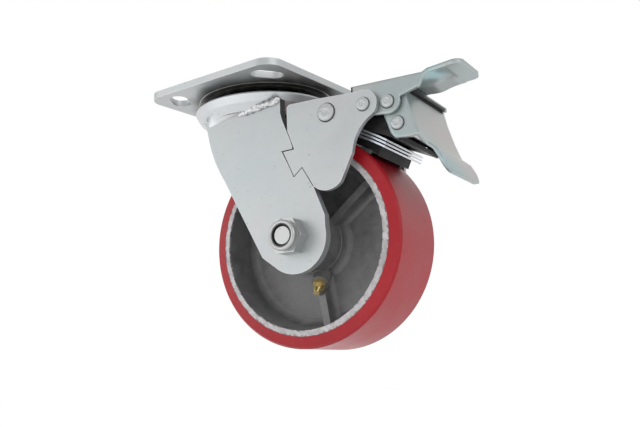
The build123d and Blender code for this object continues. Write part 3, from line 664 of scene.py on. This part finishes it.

# Black strips of painted shade, one on each pedal: along the upper pedal's flange edge and under the
# lower pedal's lip
FLANGE_SHADE = [(79.25, 0.9), (79.95, 0.9), (79.95, -5.4), (79.25, -5.4)]
LIP_SHADE = [
    (112.2, -3.2), (112.42, -3.2), (112.42, -4.75), (110.6, -4.95),
    (110.85, -6.1), (110.5, -6.1), (110.2, -4.6), (112.2, -4.6),
]
form = prism(below_crown(FLANGE_SHADE), -31.72, -31.2)
add_piece("flange_edge_shade", form, [BLACK], "upper_pedal_link", smooth=False)
form = prism(below_crown(ROOT), -31.2, -1.6)
add_piece("tongue_root", form, [ZINC_ROOT], "upper_pedal_link")
form = prism(below_crown(LIP_SHADE), -26.0, 26.0)
add_piece("lower_lip_shade", form, [BLACK], "lower_pedal_link", smooth=False)


# Cast fillets of the wheel
def hollow_arc(start, corner, end, steps=6):
    """Points of a quarter round that is hollow towards its corner."""
    centre = (start[0] + end[0] - corner[0], start[1] + end[1] - corner[1])
    points = []
    for step in range(steps + 1):
        angle = math.pi / 2 * step / steps
        points.append(tuple(
            centre[axis]
            + (start[axis] - centre[axis]) * math.cos(angle)
            + (end[axis] - centre[axis]) * math.sin(angle)
            for axis in (0, 1)
        ))
    return points


# The web's face and a depth inside the web where the fillets end, from the middle plane
WEB = 3.9
INSIDE = 3.0
HUB_FILLET = hollow_arc((17.6, 9.5), (17.6, WEB), (23.0, WEB))
HUB_FILLET += [(23.0, INSIDE), (16.0, INSIDE), (16.0, 9.5)]
RIM_FILLET = hollow_arc((43.6, WEB), (48.9, WEB), (49.4, 9.5))
RIM_FILLET += [(50.2, 9.5), (50.2, INSIDE), (43.6, INSIDE)]
RIB_FILLET = hollow_arc((2.2, 8.0), (2.2, WEB), (6.2, WEB))
RIB_FILLET += [(6.2, INSIDE), (1.6, INSIDE), (1.6, 8.0)]
RIB_REACH = (17.5, 49.0)
RIB_COUNT = 3
FIRST_RIB = 38.5


def rib_fillet(side, turn, flank):
    """A straight fillet along one flank of a rib."""
    form = bmesh.new()
    ends = []
    for reach in RIB_REACH:
        ring = []
        for offset, width in RIB_FILLET:
            x = AXLE[0] + reach * math.cos(turn) - flank * offset * math.sin(turn)
            z = AXLE[1] + reach * math.sin(turn) + flank * offset * math.cos(turn)
            ring.append(form.verts.new((x, side * width, z)))
        ends.append(ring)
    form.faces.new(ends[0])
    form.faces.new(list(reversed(ends[1])))
    wall(form, ends[0], ends[1])
    return form


for side, label in ((-1, "near"), (1, "far")):
    for part, profile, steps in (("hub", HUB_FILLET, 96), ("rim", RIM_FILLET, 128)):
        form = revolved([(radius, side * width) for radius, width in profile], AXLE, steps, 0.0, True)
        add_piece(f"{part}_fillet_{label}", form, [IRON], "wheel")
    for rib in range(RIB_COUNT):
        turn = math.radians(FIRST_RIB + 120 * rib)
        for flank in (-1, 1):
            form = rib_fillet(side, turn, flank)
            name = f"rib_fillet_{label}_{rib}_{flank + 1}"
            add_piece(name, form, [IRON], "wheel", smooth=False)

# Rough stretch of the weld
BEAD_LINE = [
    (33.6, -17.0), (28.6, -17.6), (23.5, -18.2), (18.6, -18.7),
    (14.7, -19.1), (10.4, -19.8), (6.5, -20.4), (2.5, -21.0),
]
BEAD_STEPS = 150
BEAD_AROUND = 16
BEAD_ROUGH_STEPS = 118


def weld_bead(name, side, replaced):
    """The weld's rough start. Its smooth rest is the blend of the same side."""
    form = bmesh.new()
    rings = []
    for step in range(BEAD_STEPS + 1):
        share = step / BEAD_STEPS * (len(BEAD_LINE) - 1)
        index = min(int(share), len(BEAD_LINE) - 2)
        part = share - index
        x = BEAD_LINE[index][0] * (1 - part) + BEAD_LINE[index + 1][0] * part
        z = BEAD_LINE[index][1] * (1 - part) + BEAD_LINE[index + 1][1] * part
        rough = min(1.0, max(0.0, (x - 1) / 9))
        girth = 0.7 + 1.8 * rough
        ends = min(1.0, math.sqrt(max(0.0, min(step, BEAD_STEPS - step) / 6)))
        ring = []
        for turn in range(BEAD_AROUND):
            angle = math.tau * turn / BEAD_AROUND
            cos, sin = math.cos(angle), math.sin(angle)
            lump = mathutils_noise.noise(Vector((x * 0.55, cos * 1.2, sin * 1.2 + side)))
            fine = mathutils_noise.noise(Vector((x * 1.7, cos * 3.0, sin * 3.0 - side)))
            reach = girth * ends * (1 + rough * (0.30 * lump + 0.16 * fine))
            y = side * (LEG_OUTER + 0.1) + reach * 0.8 * cos
            ring.append(form.verts.new((x, y, z + reach * sin)))
        rings.append(ring)
    for step, (first, second) in enumerate(zip(rings, rings[1:])):
        wall(form, first, second, 0 if step < BEAD_ROUGH_STEPS else 1)
    bmesh.ops.remove_doubles(form, verts=form.verts, dist=0.0001)
    # The smooth end of the bead takes the crown's lighter copy of the zinc, which is painted light.
    piece = add_piece(name, form, [WELD, LIT_CROWN], "fork")
    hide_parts(replaced)


weld_bead("near_bead", -1, "near_weld")
weld_bead("far_bead", 1, "far_weld")

BLEND_STEPS = 64
BLEND_ACROSS = 8


def crown_blend(name, side):
    """Smoothed weld metal between the crown and the face of a leg."""
    form = bmesh.new()
    rings = []
    for step in range(BLEND_STEPS + 1):
        share = step / BLEND_STEPS
        x = 16.0 - 37.2 * share
        grow = min(1.0, share / 0.25) * min(1.0, (1.0 - share) / 0.3) ** 0.7
        reach = 39.6 + 2.2 * grow
        top = (-math.sqrt(reach ** 2 - x ** 2) + 0.2, CROWN_BOTTOM + (reach - 38.5) / 4.2 * 4.0)
        low_z = -19.4 - 2.6 * (16.0 - x) / 36.0 - 3.6 * max(0.0, (2.0 - x) / 22.0) ** 1.2
        if x < -20.0:
            low_z += 1.4 * (-20.0 - x)
        low = (-LEG_OUTER + 0.1, low_z)
        middle = (0.62 * (-LEG_OUTER - 0.3) + 0.38 * top[0], 0.45 * top[1] + 0.55 * low[1] + 0.5)
        ring = []
        for turn in range(BLEND_ACROSS + 1):
            part = turn / BLEND_ACROSS
            y, z = (
                (1 - part) ** 2 * top[axis] + 2 * part * (1 - part) * middle[axis] + part ** 2 * low[axis]
                for axis in (0, 1)
            )
            wave = 0.12 * mathutils_noise.noise(Vector((x * 0.35, part * 3.0, 1.7)))
            ring.append(form.verts.new((x, -side * (y - wave), z)))
        ring.append(form.verts.new((x, side * (LEG_OUTER - 2.0), low[1] + 0.4)))
        ring.append(form.verts.new((x, side * (LEG_OUTER - 2.0), top[1])))
        rings.append(ring)
    for first, second in zip(rings, rings[1:]):
        wall(form, first, second)
    form.faces.new(rings[0])
    form.faces.new(list(reversed(rings[-1])))
    # The blend takes the crown's lighter copy of the zinc, which is painted light.
    add_piece(name, form, [LIT_CROWN], "fork")


crown_blend("near_blend", -1)
crown_blend("far_blend", 1)

# Black strips on the legs: painted shade along a leg's edge beside its bracket and in the seam between
# them
SEAM_LINES = [
    [(33.2, -29.2), (41.3, -29.0), (40.6, -28.0)],
    [(34.1, -29.5), (41.2, -45.6), (46.9, -40.9), (53.8, -52.8)],
]
SEAM_HALF_WIDTH = 0.22
NOTCH_LINE = [(33.4, 3.3), (33.1, -5.7), (34.3, -10.2), (39.4, -23.3), (41.2, -28.9)]


def seam_and_shade(name, side):
    """Black strips on a leg's face along its seam with the bracket: a real seam, with its darkness
    painted shade.
    """
    form = bmesh.new()
    for points in SEAM_LINES:
        for (x0, z0), (x1, z1) in zip(points, points[1:]):
            run = math.hypot(x1 - x0, z1 - z0)
            off_x = -(z1 - z0) / run * SEAM_HALF_WIDTH
            off_z = (x1 - x0) / run * SEAM_HALF_WIDTH
            outline = [
                (x0 - off_x, CROWN_BOTTOM + z0 - off_z), (x1 - off_x, CROWN_BOTTOM + z1 - off_z),
                (x1 + off_x, CROWN_BOTTOM + z1 + off_z), (x0 + off_x, CROWN_BOTTOM + z0 + off_z),
            ]
            take_in(form, prism(outline, side * (LEG_OUTER + 0.06), side * (LEG_OUTER - 0.6)))
    add_piece(name, form, [BLACK], "fork", smooth=False)


def notch_shade_strip(name, side):
    """A black strip of painted shade on the edge of a leg beside its bracket."""
    outline = below_crown([(x + 0.02, z) for x, z in NOTCH_LINE])
    outline += below_crown([(x + 0.32, z) for x, z in reversed(NOTCH_LINE)])
    form = prism(outline, side * (LEG_OUTER - 0.02), side * (LEG_OUTER - 4.9))
    add_piece(name, form, [BLACK], "fork", smooth=False)


notch_shade_strip("near_notch_shade", -1)
notch_shade_strip("far_notch_shade", 1)
seam_and_shade("near_seam_and_shade", -1)
seam_and_shade("far_seam_and_shade", 1)

# Floor and light
WORLD_LIGHT = 0.6
FLOOR_GLOW = 0.6
FLOOR_CAMERA_SHARE = 0.77
FLOOR_HEIGHT = -0.30
FLOOR_SIZE = 6.0


def background_rays(tree, camera_share=1.0):
    """1 for mirror-like and see-through rays and a share of that for camera rays."""
    path = tree.nodes.new("ShaderNodeLightPath")
    total = combine(tree, "MULTIPLY", path.outputs["Is Camera Ray"], camera_share)
    for kind in ("Is Glossy Ray", "Is Transmission Ray"):
        total = combine(tree, "MAXIMUM", total, path.outputs[kind])
    return total


def floor_material():
    """A pale floor that glows for the camera: it shows white, and the shadow on it is lost."""
    material, tree, shader = new_material("floor_white")
    shader.inputs["Base Color"].default_value = (0.9, 0.9, 0.9, 1)
    shader.inputs["Roughness"].default_value = 0.9
    shader.inputs["Specular IOR Level"].default_value = 0.1
    shader.inputs["Emission Color"].default_value = (1, 1, 1, 1)
    seen = background_rays(tree, FLOOR_CAMERA_SHARE)
    tree.links.new(spread(tree, seen, 0.0, FLOOR_GLOW, 0.0, 1.0), shader.inputs["Emission Strength"])
    return material


floor_mesh = bpy.data.meshes.new("floor")
floor_form = bmesh.new()
bmesh.ops.create_grid(floor_form, x_segments=1, y_segments=1, size=FLOOR_SIZE)
floor_form.to_mesh(floor_mesh)
floor_form.free()
floor = bpy.data.objects.new("floor", floor_mesh)
floor.location = (0, 0, FLOOR_HEIGHT)
floor.data.materials.append(floor_material())
scene.collection.objects.link(floor)

world = bpy.data.worlds.new("studio")
scene.world = world
world.use_nodes = True
tree = world.node_tree
sky = next(n for n in tree.nodes if n.type == "BACKGROUND")
sky.inputs["Color"].default_value = (1, 1, 1, 1)
tree.links.new(spread(tree, background_rays(tree), WORLD_LIGHT, 1.0, 0.0, 1.0), sky.inputs["Strength"])


def lamp(name, at, target, size, power):
    """A square soft light at a point of the fork's frame in millimetres."""
    light = bpy.data.lights.new(name, "AREA")
    light.size = size
    light.energy = power
    holder = bpy.data.objects.new(name, light)
    scene.collection.objects.link(holder)
    spot = fork_point(*at)
    aim = fork_point(*target)
    holder.location = spot
    holder.rotation_euler = (aim - spot).to_track_quat("-Z", "Y").to_euler()


lamp("key", (-750, -750, 20), (30, 0, -60), 0.8, 1.9)
lamp("low", (-100, -500, -270), (20, 0, -20), 0.5, 0.5)
lamp("side", (900, -350, 300), (60, 0, -60), 0.6, 1.5)
